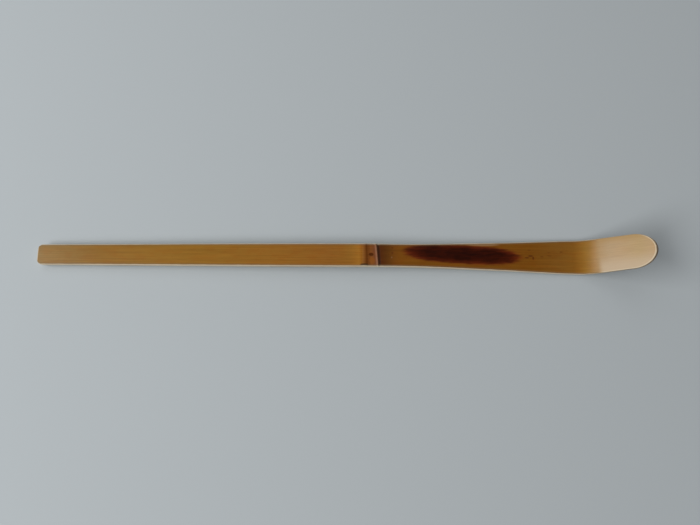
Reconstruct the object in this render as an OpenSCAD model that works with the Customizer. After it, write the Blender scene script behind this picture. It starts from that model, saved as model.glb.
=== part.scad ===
// Tea scoop carved from one strip of bamboo, lying on its back with the scoop's end turned up.
// +X runs from the cut end to the scoop, +Y across the strip and +Z up from the table.
// The pieces are the strip's natural zones and layers, and they share their boundary faces.

/* [Lengths] */
// From the cut end to the node, along the back
handle_l = 98.7; // [70:0.1:130]
// From the node to where the back runs out onto the table
blade_l = 53.5; // [45:0.5:80]
// From there to the corner of the bend
belly_l = 13.5; // [12:0.5:25]
// From the corner of the bend to the end of the scoop
scoop_l = 20.8; // [16:0.1:28]
// Length of the rounded end of the scoop
round_l = 6.5; // [4:0.1:8]

/* [Side view] */
// Height of the back over the table at the node
arch_h = 1.4; // [0.6:0.1:2.5]
// Radius of the back over the node
node_r = 130; // [60:5:250]
// Radius of the back where it runs out onto the table
belly_r = 260; // [100:10:400]
// Angle that the scoop is bent up by
bend_angle = 48; // [30:0.5:60]
// Radius of the back around the bend
bend_r = 10; // [8:0.5:12]
// Depth rubbed off the belly so that it lies flat
rub_h = 0.05; // [0.02:0.01:0.1]

/* [Widths] */
// Width at the cut end
cut_w = 6.1; // [5:0.1:8]
// Width at the node and along the waist after it
node_w = 6.9; // [6:0.1:9]
// Width at the middle of the blade's flare
flare_w = 8.5; // [7:0.1:10]
// Width at the bend
bend_w = 10.4; // [8:0.1:13]
// Width of the scoop where its rounded end starts
scoop_w = 9.9; // [8:0.1:12]
// Length of the waist after the node
waist_l = 12; // [8:0.5:20]
// From the node to the middle of the flare
flare_l = 40; // [30:0.5:48]

/* [Thicknesses] */
// Thickness at the cut end
cut_t = 2.8; // [2:0.1:4]
// Thickness at the node
node_t = 3.2; // [2.4:0.1:5]
// Thickness where the belly starts
belly_t = 2.3; // [1.8:0.1:3]
// Thickness at the bend
bend_t = 2.1; // [1.7:0.1:2.8]
// Thickness at the end of the scoop
end_t = 1.4; // [1.3:0.1:1.8]
// Thickness of the skin layer
skin_t = 0.55; // [0.5:0.05:0.6]

/* [Edges] */
// Radius of the front across the strip, which was the culm's outside
crown_r = 28; // [20:1:60]
// Width of the shaved edge along the front
arris_w = 0.25; // [0.2:0.05:0.6]
// Height of the shaved edge along the front
arris_h = 0.3; // [0.1:0.05:0.3]
// Width and height of the edge around the scoop's front
scoop_arris = 0.12; // [0.05:0.01:0.2]
// Width of the bevel along the back
bevel_w = 0.9; // [0.3:0.1:1.4]
// Height of the bevel along the back
bevel_h = 0.8; // [0.3:0.1:0.8]
// Width of the bevel around the scoop's back
scoop_bevel_w = 1.2; // [0.4:0.1:1.8]
// Height of the bevel around the scoop's back
scoop_bevel_h = 0.2; // [0.1:0.05:0.25]
// Radius of the corners at the cut end
cut_r = 1.1; // [0.4:0.1:1.4]
// Slant of the cut end
cut_slant = 0; // [0:0.5:8]

/* [Node] */
// Height of the nodal ridge
ridge_h = 0.14; // [0.05:0.01:0.3]
// Length of the nodal ridge
ridge_l = 2.4; // [1.6:0.1:3]
// From the middle of the ridge to the ledge of the sheath scar
scar_gap = 3.1; // [2.4:0.1:4]
// Height of the scar's ledge
scar_h = 0.16; // [0.05:0.01:0.3]
// Depth of the crevice beside the ledge
crevice_h = 0.14; // [0.05:0.01:0.15]
// Length of the sheath scar with its crevice
scar_l = 1.6; // [1.4:0.1:2]
// Slant of the scar across the strip
scar_slant = 5; // [0:0.5:10]
// Length of the diaphragm's trace on the back
trace_l = 3; // [2:0.1:3.6]
// Width of the diaphragm's trace
trace_w = 3.6; // [2:0.1:3.8]
// Height that the trace stands out of the back
trace_h = 0.3; // [0.1:0.05:0.5]

/* [Fineness] */
// Facets across the front
across = 8; // [4:2:12]
// Longest step along the handle and blade
long_step = 4; // [2:0.5:8]
// Step along the node
node_step = 0.3; // [0.2:0.05:0.5]
// Turn of each step around the bend and the rounded end
turn_step = 6; // [4:1:10]

/* [Hidden] */

// Slopes of the back on the two sides of the node
rise = asin(arch_h / handle_l);
fall = asin((arch_h + rub_h) / blade_l);

// Distance from each corner of the back's side view to where its rounding starts
node_tan = node_r * tan((rise + fall) / 2);
belly_tan = belly_r * tan(fall / 2);
bend_tan = bend_r * tan(bend_angle / 2);

function arc_l(r, turn) = r * turn * PI / 180;

// The back line from the cut end, as runs of [length, turn]
RUNS = [
    [handle_l - node_tan, 0],
    [arc_l(node_r, rise + fall), -rise - fall],
    [blade_l - node_tan - belly_tan, 0],
    [arc_l(belly_r, fall), fall],
    [belly_l - belly_tan - bend_tan, 0],
    [arc_l(bend_r, bend_angle), bend_angle],
    [scoop_l - bend_tan, 0],
];

// Where a run of this turn, started at place [x, z, heading], has got to after distance d
function advance(place, run, d) =
    let (h = place[2], turn = run[1] * d / run[0])
    turn == 0 ? [place.x + d * cos(h), place.y + d * sin(h), h] :
    let (r = d / (turn * PI / 180))
    [place.x + r * (sin(h + turn) - sin(h)), place.y - r * (cos(h + turn) - cos(h)), h + turn];

STARTS = [for (i = 0, s = 0; i <= len(RUNS); s = s + (i < len(RUNS) ? RUNS[i][0] : 0), i = i + 1) s];
PLACES = [for (i = 0, p = [0, 0, rise]; i < len(RUNS); p = advance(p, RUNS[i], RUNS[i][0]), i = i + 1) p];

// Place and heading of the back line at distance s from the cut end
function back_line(s) =
    let (i = max([0, for (k = [1 : len(RUNS) - 1]) if (STARTS[k] <= s) k]))
    advance(PLACES[i], RUNS[i], s - STARTS[i]);

// Distances of the zones' boundaries from the cut end
node_s = handle_l;
ridge_s0 = node_s - ridge_l / 2;
ridge_s1 = node_s + ridge_l / 2;
scar_s = node_s + scar_gap;
scar_s0 = scar_s - scar_l * 0.35;
scar_s1 = scar_s0 + scar_l;
crevice_s = scar_s + scar_l * 0.35;
bend_s0 = STARTS[5];
bend_s1 = STARTS[6];
round_s = STARTS[7] - round_l;

// Values along the strip, as [distance, value]
WIDTHS = [[0, cut_w], [node_s, node_w], [node_s + waist_l, node_w], [node_s + flare_l, flare_w],
    [(bend_s0 + bend_s1) / 2, bend_w], [round_s, scoop_w]];
THICKNESSES = [[0, cut_t], [node_s, node_t], [STARTS[3], belly_t], [bend_s0, bend_t], [STARTS[7], end_t]];

function slope(table, i) = (table[i + 1].y - table[i].y) / (table[i + 1].x - table[i].x);

function tangent(table, i) =
    i == 0 ? slope(table, 0) :
    i == len(table) - 1 ? slope(table, i - 1) :
    let (before = table[i].x - table[i - 1].x, after = table[i + 1].x - table[i].x)
    (slope(table, i - 1) * after + slope(table, i) * before) / (before + after);

// The smooth curve through a table's points
function smooth(table, s) =
    let (i = max([0, for (k = [1 : len(table) - 2]) if (table[k].x <= s) k]),
        l = table[i + 1].x - table[i].x,
        u = min(max((s - table[i].x) / l, 0), 1))
    (2 * u ^ 3 - 3 * u ^ 2 + 1) * table[i].y
    + (u ^ 3 - 2 * u ^ 2 + u) * l * tangent(table, i)
    + (3 * u ^ 2 - 2 * u ^ 3) * table[i + 1].y
    + (u ^ 3 - u ^ 2) * l * tangent(table, i + 1);

// Turns value a on the shaft into value b on the scoop, over the bend
function to_scoop(a, b, s) =
    let (u = min(max((s - bend_s0) / (bend_s1 - bend_s0), 0), 1))
    a + (b - a) * u ^ 2 * (3 - 2 * u);

function bump(s, middle, reach) = exp(-((s - middle) / reach) ^ 2);
function crown(y) = crown_r - sqrt(crown_r ^ 2 - y ^ 2);
function corner(s) = s < cut_r ? cut_r - sqrt(cut_r ^ 2 - (cut_r - s) ^ 2) : 0;
function half_w(s) = smooth(WIDTHS, s) / 2 - corner(s);
function thick(s) = smooth(THICKNESSES, s);

// How far the node's ridge, ledge and crevice raise the front
function relief(s) =
    ridge_h * bump(s, node_s, ridge_l / 3)
    + scar_h * bump(s, scar_s, scar_l / 5)
    - crevice_h * bump(s, crevice_s, scar_l / 5);

// How far the cut end and the scar are slanted at distance y across
function slant(s, y) =
    tan(cut_slant) * (y + cut_w / 2) * bump(s, 0, 3)
    - tan(scar_slant) * y * bump(s, scar_s, 2.5);

// The point at distance s along the back line, y across and n above the back
function at(s, y, n) =
    let (p = back_line(s + slant(s, y)))
    [p.x - n * sin(p[2]), y, p.y + n * cos(p[2])];

// A row is [distance, angle around the rounded end]. An inset narrows and shortens the outline.
function row_s(row, inset) = row[0] + (round_l - inset) * sin(row[1]);
function row_w(row, inset) = (half_w(row[0]) - inset) * cos(row[1]);
function shares() = [for (j = [0 : across]) 2 * j / across - 1];

function front_row(row) =
    let (inset = to_scoop(arris_w, scoop_arris, row[0]), s = row_s(row, inset), w = row_w(row, inset))
    [for (v = shares()) at(s, v * w, thick(s) + relief(s) - crown(v * w))];

function arris_row(row) =
    let (s = row_s(row, 0), w = row_w(row, 0), h = to_scoop(arris_h, scoop_arris, row[0]))
    [for (v = [-1, 1]) at(s, v * w, thick(s) + relief(s) - crown(w) - h)];

function skin_base_row(row) =
    let (s = row_s(row, 0), w = row_w(row, 0))
    [for (v = shares()) at(s, v * w, thick(s) - skin_t - crown(v * w))];

function bevel_row(row) =
    let (s = row_s(row, 0), w = row_w(row, 0), h = to_scoop(bevel_h, scoop_bevel_h, row[0]))
    [for (v = [-1, 1]) at(s, v * w, h)];

function back_row(row) =
    let (inset = to_scoop(bevel_w, scoop_bevel_w, row[0]), s = row_s(row, inset), w = row_w(row, inset))
    [for (v = shares()) at(s, v * w, 0)];

// Rows from distance a to b, no further apart than step
function rows(a, b, step) =
    let (n = ceil((b - a) / step))
    [for (i = [0 : n]) [a + (b - a) * i / n, 0]];

CORNER_ROWS = [for (a = [0 : 22.5 : 67.5]) [cut_r * (1 - cos(a)), 0]];
HANDLE_ROWS = concat(CORNER_ROWS, rows(cut_r, ridge_s0, long_step));
RIDGE_ROWS = rows(ridge_s0, ridge_s1, node_step);
BAND_ROWS = rows(ridge_s1, scar_s0, node_step);
SCAR_ROWS = rows(scar_s0, scar_s1, node_step / 2);
BLADE_ROWS = concat(rows(scar_s1, scar_s1 + 3, 1), rows(scar_s1 + 3 + long_step, bend_s0, long_step));
BEND_ROWS = rows(bend_s0, bend_s1, arc_l(bend_r, turn_step));
ROUND_ROWS = [for (a = [turn_step : turn_step : 87]) [round_s, a]];
SCOOP_ROWS = concat(rows(bend_s1, round_s, long_step), ROUND_ROWS, [[round_s, 88]]);
NODE_ROWS = concat(RIDGE_ROWS, [for (i = [1 : len(BAND_ROWS) - 1]) BAND_ROWS[i]],
    [for (i = [1 : len(SCAR_ROWS) - 1]) SCAR_ROWS[i]]);

// Halfway between the two ends, which is where the origin goes
ENDS = concat(arris_row([0, 0]), back_row([0, 0]), arris_row([round_s, 88]), bevel_row([round_s, 88]));
mid_x = (min([for (p = ENDS) p.x]) + max([for (p = ENDS) p.x])) / 2;

SKIN = [0.54, 0.37, 0.16];
DARK_SKIN = [0.33, 0.2, 0.08];
PALE_SKIN = [0.71, 0.6, 0.45];
FLESH = [0.68, 0.57, 0.4];

function quad(a, b, c, d) = [[a, b, c], [a, c, d]];

// A closed slab between rows of points, with one point on each side of each row
module slab(upper, sides, lower) {
    n = len(upper) - 1;
    m = len(upper[0]) - 1;
    size = 2 * m + 4;
    function u(i, j) = i * size + j;
    function d(i, j) = i * size + m + 1 + j;
    function left(i) = i * size + 2 * m + 2;
    function right(i) = i * size + 2 * m + 3;
    points = [for (i = [0 : n]) each concat(upper[i], lower[i], sides[i])];
    along = [for (i = [0 : n - 1]) each concat(
        [for (j = [0 : m - 1]) each quad(u(i, j), u(i, j + 1), u(i + 1, j + 1), u(i + 1, j))],
        [for (j = [0 : m - 1]) each quad(d(i, j), d(i + 1, j), d(i + 1, j + 1), d(i, j + 1))],
        quad(left(i), u(i, 0), u(i + 1, 0), left(i + 1)),
        quad(d(i, 0), left(i), left(i + 1), d(i + 1, 0)),
        quad(right(i), right(i + 1), u(i + 1, m), u(i, m)),
        quad(d(i, m), d(i + 1, m), right(i + 1), right(i)))];
    first = concat(
        [for (j = [0 : m - 1]) each quad(d(0, j + 1), u(0, j + 1), u(0, j), d(0, j))],
        [[u(0, 0), left(0), d(0, 0)], [d(0, m), right(0), u(0, m)]]);
    last = concat(
        [for (j = [0 : m - 1]) each quad(d(n, j + 1), d(n, j), u(n, j), u(n, j + 1))],
        [[u(n, 0), d(n, 0), left(n)], [d(n, m), u(n, m), right(n)]]);
    polyhedron(points, concat(along, first, last));
}

// The skin layer over these rows
module skin(rows) {
    translate([-mid_x, 0, 0])
        slab([for (r = rows) front_row(r)], [for (r = rows) arris_row(r)], [for (r = rows) skin_base_row(r)]);
}

// The flesh under the skin over these rows
module flesh(rows) {
    translate([-mid_x, 0, 0])
        slab([for (r = rows) skin_base_row(r)], [for (r = rows) bevel_row(r)], [for (r = rows) back_row(r)]);
}

// Cuts what would reach below the table off a piece
module rubbed_flat() {
    difference() {
        children();
        translate([0, -bend_w, -1])
            cube([mid_x, 2 * bend_w, 1]);
    }
}

module handle_skin() {
    color(SKIN) skin(HANDLE_ROWS);
}

module handle_flesh() {
    color(FLESH) flesh(HANDLE_ROWS);
}

module nodal_ridge() {
    color(DARK_SKIN) skin(RIDGE_ROWS);
}

module node_band() {
    color([0.43, 0.26, 0.12]) skin(BAND_ROWS);
}

module sheath_scar() {
    color([0.58, 0.45, 0.33]) skin(SCAR_ROWS);
}

module node_flesh() {
    color(FLESH) flesh(NODE_ROWS);
}

// What is left of the wall that closed the culm at the node
module diaphragm_trace() {
    trace = [for (r = NODE_ROWS) if (abs(r[0] - node_s - trace_l / 2) <= trace_l / 2) r[0]];
    middle = (trace[0] + trace[len(trace) - 1]) / 2;
    function depth(s) = trace_h * max(0.2, 1 - ((s - middle) / (trace_l / 2)) ^ 2);
    color([0.5, 0.38, 0.22])
        translate([-mid_x, 0, 0])
            slab(
                [for (s = trace) [for (v = shares()) at(s, v * trace_w / 2, 0)]],
                [for (s = trace) [for (v = [-1, 1]) at(s, v * trace_w / 2, -depth(s) / 2)]],
                [for (s = trace) [for (v = shares()) at(s, v * trace_w / 2 * 0.85, -depth(s))]]);
}

module blade_skin() {
    color(DARK_SKIN) skin(BLADE_ROWS);
}

module blade_flesh() {
    color(FLESH) rubbed_flat() flesh(BLADE_ROWS);
}

module bend_skin() {
    color(SKIN) skin(BEND_ROWS);
}

module bend_flesh() {
    color(FLESH) rubbed_flat() flesh(BEND_ROWS);
}

module scoop_skin() {
    color(PALE_SKIN) skin(SCOOP_ROWS);
}

module scoop_flesh() {
    color(FLESH) flesh(SCOOP_ROWS);
}

handle_skin();
handle_flesh();
nodal_ridge();
node_band();
sheath_scar();
node_flesh();
diaphragm_trace();
blade_skin();
blade_flesh();
bend_skin();
bend_flesh();
scoop_skin();
scoop_flesh();
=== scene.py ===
from math import asin, ceil, cos, exp, radians, sin, sqrt, tan

import bmesh
import bpy
from mathutils import Euler, Matrix, Vector


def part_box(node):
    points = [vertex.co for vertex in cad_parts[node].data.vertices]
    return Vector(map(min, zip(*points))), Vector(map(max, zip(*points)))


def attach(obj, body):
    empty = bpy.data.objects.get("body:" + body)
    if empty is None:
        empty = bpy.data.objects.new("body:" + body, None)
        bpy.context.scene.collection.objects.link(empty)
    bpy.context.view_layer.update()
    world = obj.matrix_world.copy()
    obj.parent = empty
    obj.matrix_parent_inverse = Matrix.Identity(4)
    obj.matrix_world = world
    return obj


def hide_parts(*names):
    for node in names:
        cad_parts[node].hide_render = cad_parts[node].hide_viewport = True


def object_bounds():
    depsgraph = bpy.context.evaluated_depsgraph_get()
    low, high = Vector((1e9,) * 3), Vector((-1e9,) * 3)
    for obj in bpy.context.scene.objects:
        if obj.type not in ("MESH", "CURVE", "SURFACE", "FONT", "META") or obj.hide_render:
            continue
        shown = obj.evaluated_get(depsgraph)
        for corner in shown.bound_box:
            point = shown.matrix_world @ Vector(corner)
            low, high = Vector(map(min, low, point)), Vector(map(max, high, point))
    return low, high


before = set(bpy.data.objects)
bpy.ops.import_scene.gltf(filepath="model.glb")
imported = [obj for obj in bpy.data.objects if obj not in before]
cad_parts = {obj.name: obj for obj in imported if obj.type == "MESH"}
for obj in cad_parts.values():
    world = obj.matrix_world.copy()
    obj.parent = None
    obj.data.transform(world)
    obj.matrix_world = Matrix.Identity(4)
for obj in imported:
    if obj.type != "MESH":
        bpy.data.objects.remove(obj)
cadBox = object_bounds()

mm = 0.001


# The camera looks down on the strip from just in front of it

cameraSpec = {
    "aim": (4.16, -1.63, 0.0),   # point on the table at the picture's centre, in mm
    "distance": 166.6,           # from there to the lens, in mm
    "tilt": 10.2,                # lean towards the front, in degrees
    "roll": 0.285,
    "fieldOfView": 65.3,         # across the picture, in degrees
    "clip": (0.005, 20),         # nearest and farthest that it sees, in metres
}


def placeCamera(spec):
    lens = bpy.data.cameras.new("camera")
    lens.sensor_fit = "HORIZONTAL"
    lens.angle = radians(spec["fieldOfView"])
    lens.clip_start, lens.clip_end = spec["clip"]
    turn = Euler((radians(spec["tilt"]), 0, 0)).to_matrix() @ Matrix.Rotation(radians(spec["roll"]), 3, "Z")
    place = Vector(spec["aim"]) * mm + turn @ Vector((0, 0, spec["distance"] * mm))
    rig = bpy.data.objects.new("camera", lens)
    rig.matrix_world = Matrix.Translation(place) @ turn.to_4x4()
    bpy.context.scene.collection.objects.link(rig)
    bpy.context.scene.camera = rig


placeCamera(cameraSpec)
print("camera placed")


# The strip has the same side view, widths and thicknesses as the part's source, in mm

strip = {
    "handle": 98.7, "blade": 53.5, "belly": 13.5, "scoop": 20.8, "roundEnd": 6.5,
    "archHeight": 1.4, "nodeRadius": 130.0, "bellyRadius": 260.0,
    "bendAngle": 48.0, "bendRadius": 10.0, "rubbedOff": 0.05,
    "cutWidth": 6.1, "nodeWidth": 6.9, "flareWidth": 8.5, "bendWidth": 10.4, "scoopWidth": 9.9,
    "waistLength": 12.0, "flareLength": 40.0,
    "cutThick": 2.8, "nodeThick": 3.2, "bellyThick": 2.3, "bendThick": 2.1, "endThick": 1.4,
    "skinThick": 0.55, "crownRadius": 28.0, "cutCorner": 1.1,
}

rise = asin(strip["archHeight"] / strip["handle"])
fall = asin((strip["archHeight"] + strip["rubbedOff"]) / strip["blade"])
bend = radians(strip["bendAngle"])
nodeTangent = strip["nodeRadius"] * tan((rise + fall) / 2)
bellyTangent = strip["bellyRadius"] * tan(fall / 2)
bendTangent = strip["bendRadius"] * tan(bend / 2)

# the back line from the cut end, as runs of (length, turn)
backRuns = [
    (strip["handle"] - nodeTangent, 0),
    (strip["nodeRadius"] * (rise + fall), -rise - fall),
    (strip["blade"] - nodeTangent - bellyTangent, 0),
    (strip["bellyRadius"] * fall, fall),
    (strip["belly"] - bellyTangent - bendTangent, 0),
    (strip["bendRadius"] * bend, bend),
    (strip["scoop"] - bendTangent, 0),
]


def advance(place, run, distance):
    x, z, heading = place
    turned = run[1] * distance / run[0]
    if turned == 0:
        return x + distance * cos(heading), z + distance * sin(heading), heading
    radius = distance / turned
    x += radius * (sin(heading + turned) - sin(heading))
    z -= radius * (cos(heading + turned) - cos(heading))
    return x, z, heading + turned


runStarts = [0]
runPlaces = [(0, 0, rise)]
for backRun in backRuns:
    runStarts.append(runStarts[-1] + backRun[0])
    runPlaces.append(advance(runPlaces[-1], backRun, backRun[0]))


def backLine(s):
    # place and heading of the back at distance s from the cut end
    passed = [k for k in range(1, len(backRuns)) if runStarts[k] <= s]
    last = passed[-1] if passed else 0
    return advance(runPlaces[last], backRuns[last], s - runStarts[last])


nodeAt = strip["handle"]
bellyStart = runStarts[3]
bendStart, bendEnd, stripEnd = runStarts[-3:]
roundStart = stripEnd - strip["roundEnd"]

widths = [
    (0, strip["cutWidth"]),
    (nodeAt, strip["nodeWidth"]),
    (nodeAt + strip["waistLength"], strip["nodeWidth"]),
    (nodeAt + strip["flareLength"], strip["flareWidth"]),
    ((bendStart + bendEnd) / 2, strip["bendWidth"]),
    (roundStart, strip["scoopWidth"]),
]
thicknesses = [
    (0, strip["cutThick"]),
    (nodeAt, strip["nodeThick"]),
    (bellyStart, strip["bellyThick"]),
    (bendStart, strip["bendThick"]),
    (stripEnd, strip["endThick"]),
]


def slopeAfter(table, i):
    return (table[i + 1][1] - table[i][1]) / (table[i + 1][0] - table[i][0])


def slopeAt(table, i):
    if i == 0:
        return slopeAfter(table, 0)
    if i == len(table) - 1:
        return slopeAfter(table, i - 1)
    before = table[i][0] - table[i - 1][0]
    after = table[i + 1][0] - table[i][0]
    return (slopeAfter(table, i - 1) * after + slopeAfter(table, i) * before) / (before + after)


def smoothCurve(table, s):
    i = max([0] + [k for k in range(1, len(table) - 1) if table[k][0] <= s])
    length = table[i + 1][0] - table[i][0]
    u = min(max((s - table[i][0]) / length, 0), 1)
    value = (2 * u ** 3 - 3 * u ** 2 + 1) * table[i][1] + (3 * u ** 2 - 2 * u ** 3) * table[i + 1][1]
    value += (u ** 3 - 2 * u ** 2 + u) * length * slopeAt(table, i)
    return value + (u ** 3 - u ** 2) * length * slopeAt(table, i + 1)


def easeInto(shaftValue, scoopValue, s):
    # the shaft's value turns into the scoop's over the bend
    u = min(max((s - bendStart) / (bendEnd - bendStart), 0), 1)
    return shaftValue + (scoopValue - shaftValue) * u * u * (3 - 2 * u)


def bump(s, middle, reach):
    return exp(-((s - middle) / reach) ** 2)


def unevenBump(s, middle, reaches):
    # its reach before the middle differs from that after it
    return bump(s, middle, reaches[0] if s < middle else reaches[1])


def crown(y):
    return strip["crownRadius"] - sqrt(strip["crownRadius"] ** 2 - y * y)


def halfWidth(s):
    r = strip["cutCorner"]
    corner = r - sqrt(max(r * r - (r - s) ** 2, 0)) if s < r else 0
    return smoothCurve(widths, s) / 2 - corner


def thickness(s):
    return smoothCurve(thicknesses, s)


# the growth marks at the node, in mm
nodeSpec = {
    "ridgeLength": 2.4, "ridgeHeight": 0.14, "ridgeTopBefore": 0.3, "ridgeReach": 0.8,
    "grooveAfter": 0.35, "grooveDepth": 0.05, "grooveReach": 0.18,   # the dark line past the ridge's top
    "scarAfter": 3.1, "scarLength": 1.6,
    "scarLead": 0.35,              # share of the scar's length before its line
    "ledgeHeight": 0.16, "ledgeAfter": 0.06, "ledgeReach": (0.34, 0.14),
    "creviceDepth": 0.14, "creviceShare": 0.35, "creviceReach": (0.2, 0.34),
    "scarSlant": 5.0,              # degrees
    "slantReach": 2.5,             # how far from the scar the strip's grain follows its slant
}
ridgeStart = nodeAt - nodeSpec["ridgeLength"] / 2
ridgeEnd = nodeAt + nodeSpec["ridgeLength"] / 2
scarAt = nodeAt + nodeSpec["scarAfter"]
scarStart = scarAt - nodeSpec["scarLength"] * nodeSpec["scarLead"]
scarEnd = scarStart + nodeSpec["scarLength"]
ledgeAt = scarAt + nodeSpec["ledgeAfter"]
creviceAt = scarAt + nodeSpec["scarLength"] * nodeSpec["creviceShare"]


def relief(s):
    # how far the ridge, the ledge and the crevice raise the front
    high = nodeSpec["ridgeHeight"] * bump(s, nodeAt - nodeSpec["ridgeTopBefore"], nodeSpec["ridgeReach"])
    high -= nodeSpec["grooveDepth"] * bump(s, nodeAt + nodeSpec["grooveAfter"], nodeSpec["grooveReach"])
    high += nodeSpec["ledgeHeight"] * unevenBump(s, ledgeAt, nodeSpec["ledgeReach"])
    return high - nodeSpec["creviceDepth"] * unevenBump(s, creviceAt, nodeSpec["creviceReach"])


def slant(s, y):
    # the scar runs a little across the strip
    return -tan(radians(nodeSpec["scarSlant"])) * y * bump(s, scarAt, nodeSpec["slantReach"])


def onStrip(s, y, n):
    # the place at distance s along the back, y across and n above it
    x, z, heading = backLine(s + slant(s, y))
    return Vector((x - n * sin(heading), y, z + n * cos(heading)))


# shaved edges: width on the face and height on the side, on the shaft and on the scoop
edgeSpec = {
    "frontWidth": (0.25, 0.12), "frontHeight": (0.3, 0.12),
    "backWidth": (0.9, 1.2), "backHeight": (0.8, 0.2),
    "softness": 0.06, "softSteps": 2,   # radius worn onto the long edges
}


def atSide(share):
    # a share is how far across a place lies, from -1 at the front side to 1 at the back side
    return abs(share) > 0.999


def rowAt(row, inset):
    # a row is (distance, angle round the scoop's end); an inset narrows and shortens the outline
    s, angle = row
    return s + (strip["roundEnd"] - inset) * sin(angle), (halfWidth(s) - inset) * cos(angle)


def skinPoint(row, share, level):
    inset = easeInto(*edgeSpec["frontWidth"], row[0])
    if level > 0:
        s, w = rowAt(row, inset)
        return s, share * w, thickness(s) + relief(s) - crown(share * w)
    s, w = rowAt(row, 0)
    if level < 0:
        return s, share * w, thickness(s) - strip["skinThick"] - crown(share * w)
    if atSide(share):
        high = thickness(s) + relief(s) - crown(w) - easeInto(*edgeSpec["frontHeight"], row[0])
        return s, share * w, high
    return s, share * w, thickness(s) - strip["skinThick"] / 2 - crown(share * w)


def fleshPoint(row, share, level):
    if level > 0:
        return skinPoint(row, share, -1)
    if level < 0:
        s, w = rowAt(row, easeInto(*edgeSpec["backWidth"], row[0]))
        return s, share * w, 0
    s, w = rowAt(row, 0)
    if atSide(share):
        return s, share * w, easeInto(*edgeSpec["backHeight"], row[0])
    return s, share * w, (thickness(s) - strip["skinThick"]) / 2


# spacing of the rows along each zone, in mm, and in degrees at the two rounded ends
rowSpec = {
    "cutCorner": 9, "handle": 0.8, "ridge": 0.06, "band": 0.08, "scar": 0.04,
    "pastScar": 0.1, "pastScarLength": 3, "blade": 0.6, "bend": 0.16, "scoop": 0.4, "roundEnd": 3,
}


def evenRows(a, b, step):
    count = ceil((b - a) / step - 1e-6)   # a stretch that fits exactly gets no row too many
    return [(a + (b - a) * i / count, 0) for i in range(count + 1)]


cornerRows = [(strip["cutCorner"] * (1 - cos(radians(a))), 0) for a in range(0, 90, rowSpec["cutCorner"])]
handleRows = cornerRows + evenRows(strip["cutCorner"], ridgeStart, rowSpec["handle"])
ridgeRows = evenRows(ridgeStart, ridgeEnd, rowSpec["ridge"])
bandRows = evenRows(ridgeEnd, scarStart, rowSpec["band"])
scarRows = evenRows(scarStart, scarEnd, rowSpec["scar"])
nodeRows = ridgeRows + bandRows[1:] + scarRows[1:]
pastScarEnd = scarEnd + rowSpec["pastScarLength"]
bladeRows = evenRows(scarEnd, pastScarEnd, rowSpec["pastScar"])
bladeRows += evenRows(pastScarEnd, bendStart, rowSpec["blade"])[1:]
bendRows = evenRows(bendStart, bendEnd, rowSpec["bend"])
scoopRows = evenRows(bendEnd, roundStart, rowSpec["scoop"])
scoopRows += [(roundStart, radians(a)) for a in range(rowSpec["roundEnd"], 91, rowSpec["roundEnd"])]

# the CAD's box is centred on the strip, and its low end is the corner of the cut end
middleX = onStrip(*skinPoint((0, 0), -1, 0)).x - cadBox[0].x / mm


def rimDistance(row, s, y):
    # how far in from the outline a place is, in mm
    if row[1] == 0:
        return halfWidth(row[0]) - abs(y)
    reach = sqrt(((s - roundStart) / strip["roundEnd"]) ** 2 + (y / halfWidth(roundStart)) ** 2)
    return (1 - reach) * halfWidth(roundStart)


meshSpec = {
    "uncut": 0.9,        # an edge of the cube that is longer than this along an axis is still whole
    "weld": 0.0005,      # points closer than this become one, in mm
    "sliver": 0.0002,
    "sharpAngle": 32,    # degrees
}


def buildBlock(name, rows, across, pointAt, softLevels, onTable):
    # a cube cut into rows and laid along the strip
    block = bmesh.new()
    bmesh.ops.create_cube(block, size=1)
    for axis, cuts in enumerate((len(rows) - 2, across - 1, 1)):
        cutEdges = [e for e in block.edges
                    if abs((e.verts[1].co - e.verts[0].co)[axis]) > meshSpec["uncut"]]
        bmesh.ops.subdivide_edges(block, edges=cutEdges, cuts=cuts, use_grid_fill=True)
    growth = block.verts.layers.float_vector.new("growth")
    rim = block.verts.layers.float.new("rim")
    outline = {}
    for v in block.verts:
        row = rows[round((v.co.x + 0.5) * (len(rows) - 1))]
        share = round(2 * v.co.y, 6)
        level = round(2 * v.co.z)
        if atSide(share):
            outline[v] = (share, level)
        s, y, n = pointAt(row, share, level)
        place = onStrip(s, y, n) - Vector((middleX, 0, 0))
        if onTable:
            place.z = max(place.z, 0)
        v[growth] = Vector((s, y, thickness(s) - crown(y) - n))
        v[rim] = rimDistance(row, s, y)
        v.co = place * mm
    worn = []
    for edge in block.edges:
        a, b = (outline.get(v) for v in edge.verts)
        if a and a == b and a[1] in softLevels:
            worn.append(edge)
    bmesh.ops.remove_doubles(block, verts=block.verts, dist=meshSpec["weld"] * mm)
    worn = [e for e in worn if e.is_valid]
    if worn:
        bmesh.ops.bevel(block, geom=worn, offset=edgeSpec["softness"] * mm, offset_type="OFFSET",
                        segments=edgeSpec["softSteps"], affect="EDGES", profile=0.5, material=-1,
                        clamp_overlap=True)
    bmesh.ops.dissolve_degenerate(block, edges=block.edges, dist=meshSpec["sliver"] * mm)
    bmesh.ops.recalc_face_normals(block, faces=block.faces)
    mesh = bpy.data.meshes.new(name)
    block.to_mesh(mesh)
    block.free()
    mesh.shade_smooth()
    mesh.set_sharp_from_angle(angle=radians(meshSpec["sharpAngle"]))
    piece = bpy.data.objects.new(name, mesh)
    bpy.context.scene.collection.objects.link(piece)
    return piece


# Finishes


def paint(red, green, blue):
    # a colour as it reads in a picture, 0 to 255
    def plain(v):
        v /= 255
        return v / 12.92 if v <= 0.04045 else ((v + 0.055) / 1.055) ** 2.4
    return plain(red), plain(green), plain(blue), 1


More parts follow.
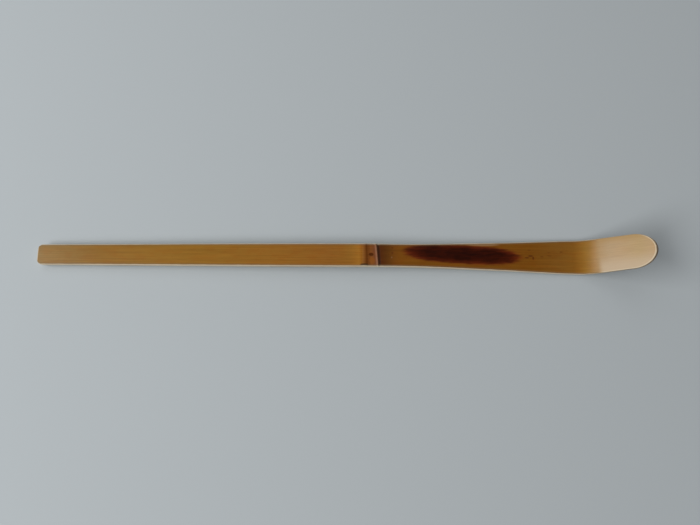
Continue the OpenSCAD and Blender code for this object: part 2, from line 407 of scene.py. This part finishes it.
class Finish:
    # a material that is wired up from where it lies on the strip
    def __init__(self, name, roughness, specular):
        self.material = bpy.data.materials.new(name)
        self.material.use_nodes = True
        self.tree = self.material.node_tree
        self.shader = self.tree.nodes["Principled BSDF"]
        self.shader.inputs["Roughness"].default_value = roughness
        self.shader.inputs["Specular IOR Level"].default_value = specular
        self.growth = self.add("ShaderNodeAttribute", attribute_name="growth").outputs["Vector"]
        apart = self.add("ShaderNodeSeparateXYZ", {"Vector": self.growth})
        self.along, self.across, self.depth = apart.outputs
        self.rim = self.add("ShaderNodeAttribute", attribute_name="rim").outputs["Fac"]

    def add(self, kind, sockets=None, **settings):
        node = self.tree.nodes.new(kind)
        for key, value in settings.items():
            setattr(node, key, value)
        for key, value in (sockets or {}).items():
            if isinstance(value, bpy.types.NodeSocket):
                self.tree.links.new(value, node.inputs[key])
            else:
                node.inputs[key].default_value = value
        return node

    def math(self, operation, a, b=0.0):
        return self.add("ShaderNodeMath", {0: a, 1: b}, operation=operation).outputs[0]

    def plus(self, a, b):
        return self.math("ADD", a, b)

    def minus(self, a, b):
        return self.math("SUBTRACT", a, b)

    def times(self, a, b):
        return self.math("MULTIPLY", a, b)

    def remap(self, value, low, high, toLow=0.0, toHigh=1.0, way="SMOOTHSTEP"):
        sockets = {"Value": value, "From Min": low, "From Max": high, "To Min": toLow, "To Max": toHigh}
        return self.add("ShaderNodeMapRange", sockets, interpolation_type=way).outputs["Result"]

    def grain(self, scale, detail=2.0, rough=0.5, shift=(0, 0, 0)):
        # noise stretched along the strip: scale is per mm along, across and deep
        place = self.add("ShaderNodeVectorMath", {0: self.growth, 1: scale, 2: shift},
                         operation="MULTIPLY_ADD")
        sockets = {"Vector": place.outputs[0], "Scale": 1.0, "Detail": detail, "Roughness": rough}
        return self.add("ShaderNodeTexNoise", sockets).outputs["Fac"]

    def sway(self, grain, reach):
        # a grain that moves something to and fro by up to half its reach
        return self.times(self.minus(grain, 0.5), reach)

    def grade(self, value, reach, stops):
        # colours at places along a value that runs from 0 to reach
        scaled = self.remap(value, 0.0, reach, way="LINEAR")
        ramp = self.add("ShaderNodeValToRGB", {"Fac": scaled})
        band = ramp.color_ramp
        while len(band.elements) < len(stops):
            band.elements.new(1.0)
        for element, (place, tint) in zip(band.elements, stops):
            element.position = place / reach
            element.color = paint(*tint)
        return ramp.outputs["Color"]

    def cover(self, under, over, share, way="MIX"):
        mix = self.add("ShaderNodeMix", {0: share, 6: under, 7: over}, data_type="RGBA", blend_type=way)
        return mix.outputs[2]

    def dim(self, tint, amount):
        return self.add("ShaderNodeVectorMath", {0: tint, "Scale": amount}, operation="SCALE").outputs[0]

    def mark(self, tint, s, y, length, width, strength, colour, inner=0.5, outer=1.3):
        # a small mark on the strip: strong inside, fading to nothing outside
        u = self.times(self.minus(self.along, s), 1 / length)
        v = self.times(self.minus(self.across, y), 1 / width)
        far = self.plus(self.times(u, u), self.times(v, v))
        inside = self.remap(far, inner, outer, 1.0, 0.0)
        return self.cover(tint, paint(*colour), self.times(inside, strength))

    def unevenGloss(self, streaks, span, roughness, change):
        # the streaks are glossier or duller than the skin between them
        rough = self.remap(streaks, *span, roughness + change[0], roughness + change[1])
        self.tree.links.new(rough, self.shader.inputs["Roughness"])

    def done(self, tint, height, depth):
        self.tree.links.new(tint, self.shader.inputs["Base Color"])
        bump = self.add("ShaderNodeBump", {"Strength": 1.0, "Distance": depth * mm, "Height": height})
        self.tree.links.new(bump.outputs["Normal"], self.shader.inputs["Normal"])
        return self.material


# In what follows a grain is (scale per mm, detail, roughness, shift). A change of one value into another
# is (from, to, result at the first, result at the second), and a span has only the first two.

fibreSpec = {
    "pale": (210, 198, 174),       # ground tissue between the bundles
    "bundle": (146, 116, 78),
    "nearSkin": (202, 187, 160),   # the dense, darker wood under the skin
    "paleDepth": 0.7,              # how deep under the front the pale colour is reached, in mm
    "depthReach": 1.6,             # the depth at which that list of colours ends
    "spacing": 0.42,               # between bundles, in mm
    "stretch": 0.012,              # how little the bundles change along the strip
    "crowding": 0.75,              # below 1, they crowd towards the skin
    "bundleEdge": (0.22, 0.42, 1.0, 0.0), "bundleShare": 0.5,
    "hairs": ((0.05, 9, 9), 3, 0.6), "hairTone": (0.3, 0.7, 0.86, 1.12),
    "mottle": ((0.15, 0.6, 0.6), 2), "mottleTone": (0.3, 0.7, 0.93, 1.06),
    "hairRelief": 0.6, "bundleRelief": 0.4,
}


def cutWood(look):
    # cut bamboo: bundles run along it, as lines on its sides and dots on its end
    deep = look.math("POWER", look.math("MAXIMUM", look.depth, 0.0), fibreSpec["crowding"])
    along = look.times(look.along, fibreSpec["stretch"])
    gather = look.add("ShaderNodeCombineXYZ", {0: along, 1: look.across, 2: deep})
    sockets = {"Vector": gather.outputs[0], "Scale": 1 / fibreSpec["spacing"]}
    cells = look.add("ShaderNodeTexVoronoi", sockets, feature="F1")
    inside = look.remap(cells.outputs["Distance"], *fibreSpec["bundleEdge"])
    hairs = look.grain(*fibreSpec["hairs"])
    mottle = look.grain(*fibreSpec["mottle"])
    stops = [(0.0, fibreSpec["nearSkin"]), (fibreSpec["paleDepth"], fibreSpec["pale"])]
    tint = look.grade(look.depth, fibreSpec["depthReach"], stops)
    tint = look.cover(tint, paint(*fibreSpec["bundle"]), look.times(inside, fibreSpec["bundleShare"]))
    tint = look.dim(tint, look.remap(hairs, *fibreSpec["hairTone"]))
    tint = look.dim(tint, look.remap(mottle, *fibreSpec["mottleTone"]))
    height = look.plus(look.times(hairs, fibreSpec["hairRelief"]),
                       look.times(inside, fibreSpec["bundleRelief"]))
    return tint, height


skinSpec = {
    "roughness": 0.42, "specular": 0.08,
    "glossSpan": (0.3, 0.7), "glossChange": (-0.05, 0.07),
    "scoopSpan": (162, 172),       # distance over which the shaft's grain fades into the scoop's
    "patches": ((0.28, 0.55, 0.55), 2, 0.5, (3, 7, 0)), "patchEdge": (0.42, 0.66, 0.0, 0.32),
    "patchTint": (255, 228, 202), "scoopPatches": 0.3,
    "streaks": ((0.05, 2.6, 1.0), 4, 0.55), "streakSpan": (0.32, 0.68),
    "darkStreak": (0.9, 0.965),    # on the shaft and on the scoop
    "paleStreak": (1.09, 1.03),
    "hairs": ((0.22, 13, 4), 3, 0.6, (0, 0, 5)), "hairTone": (0.3, 0.7, 0.93, 1.06),
    "flaws": ((0.8, 4.5, 1.0), 2, 0.5, (11, 2, 0)), "flawTone": (0.66, 0.78, 1.0, 0.72),
    "streakRelief": 0.6, "hairRelief": 0.4,
    "relief": 0.02,                # depth of the whole grain, in mm
    "colourReach": 190,            # the distance at which the lists of colours below end
}


def skinBase(look, stops):
    # oiled skin: its ground colour, long streaks, fine hairs and soft patches, all fainter on the scoop
    tint = look.grade(look.along, skinSpec["colourReach"], stops)
    onScoop = look.remap(look.along, *skinSpec["scoopSpan"])
    patches = look.remap(look.grain(*skinSpec["patches"]), *skinSpec["patchEdge"])
    patches = look.times(patches, look.remap(onScoop, 0, 1, 1.0, skinSpec["scoopPatches"], "LINEAR"))
    warmer = look.cover(tint, paint(*skinSpec["patchTint"]), 1.0, "MULTIPLY")
    tint = look.cover(tint, warmer, patches)
    streaks = look.grain(*skinSpec["streaks"])
    hairs = look.grain(*skinSpec["hairs"])
    dark = look.remap(onScoop, 0, 1, *skinSpec["darkStreak"], "LINEAR")
    light = look.remap(onScoop, 0, 1, *skinSpec["paleStreak"], "LINEAR")
    tint = look.dim(tint, look.remap(streaks, *skinSpec["streakSpan"], dark, light))
    tint = look.dim(tint, look.remap(hairs, *skinSpec["hairTone"]))
    tint = look.dim(tint, look.remap(look.grain(*skinSpec["flaws"]), *skinSpec["flawTone"]))
    height = look.plus(look.times(streaks, skinSpec["streakRelief"]),
                       look.times(hairs, skinSpec["hairRelief"]))
    return tint, height, streaks


shaveSpec = {
    "paint": (198, 184, 162), "paintShare": 0.6,
    "scoopPaint": (122, 94, 60),
    "waver": ((0.35, 0.0, 0.0), 2, 0.5, (0, 4, 0)), "waverReach": 0.12,
    "lessInFront": (0.0, -1.0, 0.0, 0.09),   # on the front side the knife took off less
    "cutSpan": (-0.05, 0.05),
    "beside": (112, 94, 70),                 # the dulled skin just inside the shaved edge
    "besideSpan": (0.04, 0.62), "besideShare": 0.5,
}


def shaveEdge(look, tint, height, width, shaved, dulled):
    # where the knife took the skin off along the edge, the wood shows
    wood, woodHeight = cutWood(look)
    waver = look.sway(look.grain(*shaveSpec["waver"]), shaveSpec["waverReach"])
    edge = look.plus(look.rim, waver)
    less = look.remap(look.across, *shaveSpec["lessInFront"])
    edge = look.plus(look.minus(edge, width), less)
    beside = look.remap(edge, *shaveSpec["besideSpan"], dulled, 0.0)
    tint = look.cover(tint, paint(*shaveSpec["beside"]), beside)
    share = look.remap(edge, *shaveSpec["cutSpan"], 1.0, 0.0)
    wood = look.cover(wood, paint(*shaved), shaveSpec["paintShare"])
    tint = look.cover(tint, wood, share)
    return tint, look.cover(height, woodHeight, share)


# the skin's ground colour along the strip, by distance from the cut end in mm. The paler, greyer stops at
# the cut end and from the bend on hold a painted reflection of the window.
goldenStops = [
    (0, (135, 110, 70)), (2, (137, 106, 61)), (10, (132, 100, 51)), (19, (131, 93, 36)),
    (34, (133, 94, 31)), (50, (132, 92, 28)), (79, (133, 88, 30)), (88, (133, 86, 31)),
    (93.7, (135, 91, 32)), (96.5, (147, 99, 34)), (97.3, (137, 86, 25)), (97.6, (104, 57, 15)),
    (102.6, (76, 36, 10)), (105.1, (87, 50, 12)), (106.9, (104, 61, 15)), (108.7, (111, 67, 14)),
    (148, (114, 70, 15)), (157.2, (120, 79, 26)), (160.3, (125, 83, 27)), (163.7, (129, 87, 29)),
    (165.5, (133, 95, 35)), (167.3, (136, 99, 44)), (169, (148, 114, 71)), (170.7, (156, 130, 94)),
]

stainSpec = {
    "middle": 127.5, "reach": 17.1, "halfWidth": 2.7,
    "lie": 0.45, "lean": -0.044,   # how far across its middle lies, and how much that changes per mm
    "blunt": 3.2,                  # the higher, the blunter its two ends
    "frayed": ((0.25, 1.6, 1.0), 3, 0.6, (5, 1, 0)), "frayReach": 0.6,
    "stops": [                     # from its middle outwards, where its outline is at 1
        (0, (38, 7, 1)), (0.35, (46, 10, 1)), (0.65, (62, 18, 3)), (0.9, (76, 28, 6)), (1.2, (98, 47, 11)),
    ],
    "stopReach": 1.5,
    "blotches": ((0.2, 0.9, 1.0), 3, 0.6, (9, 4, 0)), "blotchTone": (0.35, 0.65, 0.75, 1.4),
    "fade": (0.85, 1.5, 1.0, 0.0),
}


def addStain(look, tint):
    # the dark stain along the blade
    u = look.times(look.minus(look.along, stainSpec["middle"]), 1 / stainSpec["reach"])
    middle = look.plus(look.times(look.along, stainSpec["lean"]),
                       stainSpec["lie"] - stainSpec["lean"] * stainSpec["middle"])
    v = look.times(look.minus(look.across, middle), 1 / stainSpec["halfWidth"])
    spread = look.plus(look.math("POWER", look.math("ABSOLUTE", u), stainSpec["blunt"]), look.times(v, v))
    spread = look.plus(spread, look.sway(look.grain(*stainSpec["frayed"]), stainSpec["frayReach"]))
    stain = look.grade(spread, stainSpec["stopReach"], stainSpec["stops"])
    stain = look.dim(stain, look.remap(look.grain(*stainSpec["blotches"]), *stainSpec["blotchTone"]))
    return look.cover(tint, stain, look.remap(spread, *stainSpec["fade"]))


fleckPaint = (86, 44, 10)
goldenMarks = [   # distance along, across, half length, half width, strength, colour
    (147.1, -0.35, 0.7, 0.26, 0.8, fleckPaint),
    (148.2, 0.2, 0.75, 0.3, 0.9, fleckPaint),
    (149, -0.45, 0.3, 0.55, 0.9, fleckPaint),
    (147.9, 2.0, 0.5, 0.16, 0.6, fleckPaint),
    (151.7, 0.0, 0.55, 0.16, 0.7, fleckPaint),
    (154, 0.3, 0.75, 0.15, 0.55, fleckPaint),
    (157.7, 1.5, 0.5, 0.16, 0.6, fleckPaint),
    (153.9, 1.3, 0.4, 0.14, 0.4, fleckPaint),
    (106.4, 2.1, 0.35, 0.2, 0.8, fleckPaint),
    (106.4, 0.55, 0.3, 0.4, 0.7, fleckPaint),
    (106.2, -0.8, 0.22, 0.3, 0.7, (120, 84, 52)),    # a pale speck past the scar
    (133.5, 3.6, 5.5, 0.55, 0.6, (150, 116, 80)),    # paler along the back edge
    (98.0, -3.05, 1.1, 0.42, 1.0, (62, 34, 8)),      # a nick in the front edge at the ridge
]
cutEdgeSpec = {"span": (0.05, 0.22, 1.0, 0.0), "share": 0.85}


def goldenSkin():
    look = Finish("golden skin", skinSpec["roughness"], skinSpec["specular"])
    tint, height, streaks = skinBase(look, goldenStops)
    tint = addStain(look, tint)
    for goldenMark in goldenMarks:
        tint = look.mark(tint, *goldenMark)
    # the corner of the cut end is shaved too
    cutEdge = look.times(look.remap(look.along, *cutEdgeSpec["span"]), cutEdgeSpec["share"])
    tint = look.cover(tint, paint(*shaveSpec["paint"]), cutEdge)
    width = look.remap(look.along, bendStart, bendEnd, *edgeSpec["frontWidth"])
    tint, height = shaveEdge(look, tint, height, width, shaveSpec["paint"], shaveSpec["besideShare"])
    look.unevenGloss(streaks, skinSpec["glossSpan"], skinSpec["roughness"], skinSpec["glossChange"])
    return look.done(tint, height, skinSpec["relief"])


ridgeStops = [
    (97.3, (142, 94, 36)), (97.75, (124, 78, 30)), (98.2, (114, 68, 26)), (98.65, (102, 56, 16)),
    (98.9, (86, 40, 6)), (99.15, (88, 42, 8)), (99.5, (108, 62, 24)), (100, (118, 70, 28)),
]
bandStops = [(99.8, (118, 70, 32)), (100.3, (117, 69, 32)), (101.2, (110, 64, 38))]
# the bright stops on the ledge are a painted highlight where its crest faces the window; the dark stops
# past it are painted shade on its far side, with some dirt in the crevice
scarStops = [
    (101.1, (106, 60, 32)), (101.66, (106, 62, 36)), (101.76, (186, 148, 120)), (101.92, (200, 164, 136)),
    (102.0, (66, 30, 9)), (102.25, (38, 12, 1)), (102.5, (46, 19, 4)), (102.85, (77, 45, 23)),
]
nodeMarks = [   # as on the golden skin; the first one's last two values make it softer
    (100.3, -1.8, 0.9, 1.1, 0.7, (132, 76, 26), 0.2, 1.4),
    (100.1, 0.05, 0.75, 0.5, 0.95, (74, 35, 6)),
    (98.15, -3.05, 1.2, 0.4, 1.0, (58, 32, 8)),
]
nodeLook = {"roughness": 0.5, "specular": 0.05, "relief": 0.03}


def nodeFinish(name, stops):
    # the ridge, the band and the scar share the skin's grain
    look = Finish(name, nodeLook["roughness"], nodeLook["specular"])
    tint, height = skinBase(look, stops)[:2]
    for nodeMark in nodeMarks:
        tint = look.mark(tint, *nodeMark)
    width = edgeSpec["frontWidth"][0]
    tint, height = shaveEdge(look, tint, height, width, shaveSpec["paint"], shaveSpec["besideShare"])
    return look.done(tint, height, nodeLook["relief"])


# the scoop's colour along the strip, made paler by a painted reflection of the window
paleStops = [
    (167.3, (136, 98, 43)), (169, (146, 114, 71)), (170.7, (157, 130, 95)), (173.5, (162, 139, 108)),
    (176.2, (164, 138, 105)), (181.7, (162, 138, 100)), (186.2, (165, 137, 104)),
]

paleSpec = {
    "roughness": 0.45,
    "startLength": 1.8,            # how soon past the bend the two sides differ, in mm
    # the front side's paler paint is a painted reflection where the crowned face turns to the window; the
    # back side's deeper gold is painted shade where the face turns away
    "frontSpan": (0.3, -4.2), "frontPaint": (174, 155, 131), "frontShare": 0.75,
    "backSpan": (2.4, 4.8), "backPaint": (154, 124, 80), "backShare": 0.6,
    # a painted highlight just inside the edge, round the end and along the front side, where the rounded
    # edge catches the window
    "glintAlong": (180.5, 184), "glintAcross": (-1.5, -3.5), "glintRim": (0.36, 0.14),
    "glintPaint": (192, 177, 152), "glintShare": 0.9,
}


def paleSkin():
    # the scoop's face, paler than the shaft; the paleness is a painted reflection of the window, which the
    # tilted scoop faces
    look = Finish("pale skin", paleSpec["roughness"], skinSpec["specular"])
    tint, height, streaks = skinBase(look, paleStops)
    begun = look.remap(look.along, bendEnd, bendEnd + paleSpec["startLength"])
    # painted reflection on the front side, painted shade on the back side
    for side in ("front", "back"):
        share = look.times(look.remap(look.across, *paleSpec[side + "Span"]), begun)
        share = look.times(share, paleSpec[side + "Share"])
        tint = look.cover(tint, paint(*paleSpec[side + "Paint"]), share)
    # the painted highlight along the scoop's rim
    rimGlint = look.math("MAXIMUM", look.remap(look.along, *paleSpec["glintAlong"]),
                     look.remap(look.across, *paleSpec["glintAcross"]))
    rimGlint = look.times(look.times(rimGlint, begun), look.remap(look.rim, *paleSpec["glintRim"]))
    tint = look.cover(tint, paint(*paleSpec["glintPaint"]), look.times(rimGlint, paleSpec["glintShare"]))
    width = edgeSpec["frontWidth"][1]
    tint, height = shaveEdge(look, tint, height, width, shaveSpec["scoopPaint"], 0.0)
    look.unevenGloss(streaks, skinSpec["glossSpan"], paleSpec["roughness"], skinSpec["glossChange"])
    return look.done(tint, height, skinSpec["relief"])


# the flesh is darker along the scoop's thin edge
fleshSpec = {
    "roughness": 0.62, "specular": 0.25, "relief": 0.04,
    "edgeDarkPaint": (104, 72, 42), "edgeDarkShare": 0.85,
    "edgeDarkRim": (0.05, 0.5, 1.0, 0.0), "edgeDarkAlong": (168, 178),
}


def flesh():
    look = Finish("flesh", fleshSpec["roughness"], fleshSpec["specular"])
    tint, height = cutWood(look)
    # darker towards the scoop's thin edge
    darkerEdge = look.times(look.remap(look.rim, *fleshSpec["edgeDarkRim"]),
                        look.remap(look.along, *fleshSpec["edgeDarkAlong"]))
    tint = look.cover(tint, paint(*fleshSpec["edgeDarkPaint"]), look.times(darkerEdge, fleshSpec["edgeDarkShare"]))
    return look.done(tint, height, fleshSpec["relief"])


tornSpec = {
    "roughness": 0.8, "specular": 0.2, "relief": 0.2,
    "grain": ((2.2, 2.2, 2.2), 4, 0.65),
    "brown": (126, 92, 54), "brownSpan": (0.3, 0.6),
    "dark": (84, 56, 30), "darkSpan": (0.55, 0.75),
}


def tornWood():
    look = Finish("diaphragm trace", tornSpec["roughness"], tornSpec["specular"])
    tint = cutWood(look)[0]
    torn = look.grain(*tornSpec["grain"])
    tint = look.cover(tint, paint(*tornSpec["brown"]), look.remap(torn, *tornSpec["brownSpan"]))
    tint = look.cover(tint, paint(*tornSpec["dark"]), look.remap(torn, *tornSpec["darkSpan"]))
    return look.done(tint, torn, tornSpec["relief"])


finishes = {
    "golden_skin": goldenSkin(),
    "pale_skin": paleSkin(),
    "ridge": nodeFinish("ridge", ridgeStops),
    "band": nodeFinish("band", bandStops),
    "scar": nodeFinish("scar", scarStops),
    "flesh": flesh(),
    "trace": tornWood(),
}
print("finishes made:", ", ".join(finishes))


# The strip's zones, each standing for the CAD node of its name

traceSpec = {
    "length": 3.0, "width": 3.6, "height": 0.3,
    "lowest": 0.2,                 # share of the height that is left at both ends
    "narrower": 0.85,              # share of the width at its lower side
    "ragged": 0.16,                # share of the height by which it is torn
    "waves": (7, 5, 11, 3),        # how fast the tears follow each other along and across
    "endGap": 0.06, "rowStep": 0.12,
}


def tracePoint(row, share, level):
    # what is left of the culm's inner wall, torn along its lower side
    s = row[0]
    middle = nodeAt + traceSpec["length"] / 2
    domed = 1 - ((s - middle) / (traceSpec["length"] / 2)) ** 2
    stand = traceSpec["height"] * max(traceSpec["lowest"], domed)
    a, b, c, d = traceSpec["waves"]
    ragged = 1 - traceSpec["ragged"] * (1 + sin(s * a + share * b) * cos(share * c - s * d))
    half = traceSpec["width"] / 2
    if level > 0:
        return s, share * half, 0
    if level < 0:
        return s, share * half * traceSpec["narrower"], -stand * ragged
    return s, share * half, -stand / 2


traceStart = nodeAt + traceSpec["endGap"]
traceEnd = nodeAt + traceSpec["length"] - traceSpec["endGap"]
traceRows = evenRows(traceStart, traceEnd, traceSpec["rowStep"])

handleSkin = {
    "node": "handle_skin", "slot": "golden_skin", "shape": skinPoint, "rows": handleRows, "across": 20,
}
nodalRidge = {
    "node": "nodal_ridge", "slot": "ridge", "shape": skinPoint, "rows": ridgeRows, "across": 20,
}
nodeBand = {
    "node": "node_band", "slot": "band", "shape": skinPoint, "rows": bandRows, "across": 20,
}
sheathScar = {
    "node": "sheath_scar", "slot": "scar", "shape": skinPoint, "rows": scarRows, "across": 20,
}
bladeSkin = {
    "node": "blade_skin", "slot": "golden_skin", "shape": skinPoint, "rows": bladeRows, "across": 20,
}
bendSkin = {
    "node": "bend_skin", "slot": "golden_skin", "shape": skinPoint, "rows": bendRows, "across": 20,
}
scoopSkin = {
    "node": "scoop_skin", "slot": "pale_skin", "shape": skinPoint, "rows": scoopRows, "across": 20,
}
handleFlesh = {
    "node": "handle_flesh", "slot": "flesh", "shape": fleshPoint, "rows": handleRows, "across": 20,
}
nodeFlesh = {
    "node": "node_flesh", "slot": "flesh", "shape": fleshPoint, "rows": nodeRows, "across": 20,
}
bladeFlesh = {
    "node": "blade_flesh", "slot": "flesh", "shape": fleshPoint, "rows": bladeRows, "across": 20,
    "onTable": True,
}
bendFlesh = {
    "node": "bend_flesh", "slot": "flesh", "shape": fleshPoint, "rows": bendRows, "across": 20,
    "onTable": True,
}
scoopFlesh = {
    "node": "scoop_flesh", "slot": "flesh", "shape": fleshPoint, "rows": scoopRows, "across": 20,
}
diaphragmTrace = {
    "node": "diaphragm_trace", "slot": "trace", "shape": tracePoint, "rows": traceRows, "across": 16,
}

# levels whose long edges are worn soft: -1 is a block's underside, 0 its middle and 1 its top
softLevels = {skinPoint: (0, 1), fleshPoint: (-1, 0), tracePoint: ()}


def makeZone(spec):
    name = spec["node"] + "_look"
    piece = buildBlock(name, spec["rows"], spec["across"], spec["shape"],
                       softLevels[spec["shape"]], spec.get("onTable", False))
    piece.data.materials.append(finishes[spec["slot"]])
    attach(piece, "root")
    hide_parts(spec["node"])
    low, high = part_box(spec["node"])
    corners = [Vector(c) for c in piece.bound_box]
    off = [max(c[k] for c in corners) - high[k] for k in range(3)]
    off += [low[k] - min(c[k] for c in corners) for k in range(3)]
    print(name, len(piece.data.polygons), "faces; past its CAD box by", round(max(off) / mm, 3), "mm")


for zoneSpec in (handleSkin, handleFlesh, nodalRidge, nodeBand, sheathScar, nodeFlesh, diaphragmTrace,
                 bladeSkin, bladeFlesh, bendSkin, bendFlesh, scoopSkin, scoopFlesh):
    makeZone(zoneSpec)
print("strip made")


# The paper it lies on, and the light

floorSpec = {"size": 3.0, "paint": (167, 173, 176), "roughness": 0.9, "specular": 0.0}


def makeFloor(spec):
    sheet = bmesh.new()
    bmesh.ops.create_grid(sheet, x_segments=1, y_segments=1, size=spec["size"] / 2)
    mesh = bpy.data.meshes.new("floor")
    sheet.to_mesh(mesh)
    sheet.free()
    floor = bpy.data.objects.new("floor", mesh)
    bpy.context.scene.collection.objects.link(floor)
    paper = bpy.data.materials.new("pale paper")
    paper.use_nodes = True
    shader = paper.node_tree.nodes["Principled BSDF"]
    shader.inputs["Base Color"].default_value = paint(*spec["paint"])
    shader.inputs["Roughness"].default_value = spec["roughness"]
    shader.inputs["Specular IOR Level"].default_value = spec["specular"]
    mesh.materials.append(paper)


# two windows: distance, height and turn to the front from the left, in metres and degrees
frontWindow = {"distance": 0.85, "height": 42.0, "turn": 15.0, "size": (0.8, 0.4), "power": 8.5}
backWindow = {"distance": 1.0, "height": 50.0, "turn": -65.0, "size": (0.8, 0.6), "power": 1.5}
roomSpec = {"strength": 0.23, "backdrop": (0.42, 0.44, 0.46)}


def makeWindow(name, spec):
    pane = bpy.data.lights.new(name, "AREA")
    pane.shape = "RECTANGLE"
    pane.size, pane.size_y = spec["size"]
    pane.energy = spec["power"]
    high = radians(spec["height"])
    turn = radians(spec["turn"])
    away = Vector((-cos(high) * cos(turn), -cos(high) * sin(turn), sin(high)))
    lamp = bpy.data.objects.new(name, pane)
    lamp.location = away * spec["distance"]
    lamp.rotation_euler = away.to_track_quat("Z", "Y").to_euler()
    bpy.context.scene.collection.objects.link(lamp)


def makeRoom(spec):
    # dim light from all round; the camera sees a pale backdrop instead
    world = bpy.data.worlds.new("room")
    world.use_nodes = True
    nodes = world.node_tree.nodes
    links = world.node_tree.links
    room = nodes["Background"]
    room.inputs["Color"].default_value = (1, 1, 1, 1)
    room.inputs["Strength"].default_value = spec["strength"]
    backdrop = nodes.new("ShaderNodeBackground")
    backdrop.inputs["Color"].default_value = (*spec["backdrop"], 1)
    seen = nodes.new("ShaderNodeLightPath")
    choice = nodes.new("ShaderNodeMixShader")
    links.new(seen.outputs["Is Camera Ray"], choice.inputs[0])
    links.new(room.outputs[0], choice.inputs[1])
    links.new(backdrop.outputs[0], choice.inputs[2])
    links.new(choice.outputs[0], nodes["World Output"].inputs["Surface"])
    bpy.context.scene.world = world


makeFloor(floorSpec)
makeWindow("front window", frontWindow)
makeWindow("back window", backWindow)
makeRoom(roomSpec)
bpy.context.scene.view_settings.view_transform = "Standard"
print("floor and light placed")

print("box of the part, mm:", [[round(v / mm, 3) for v in c] for c in cadBox])
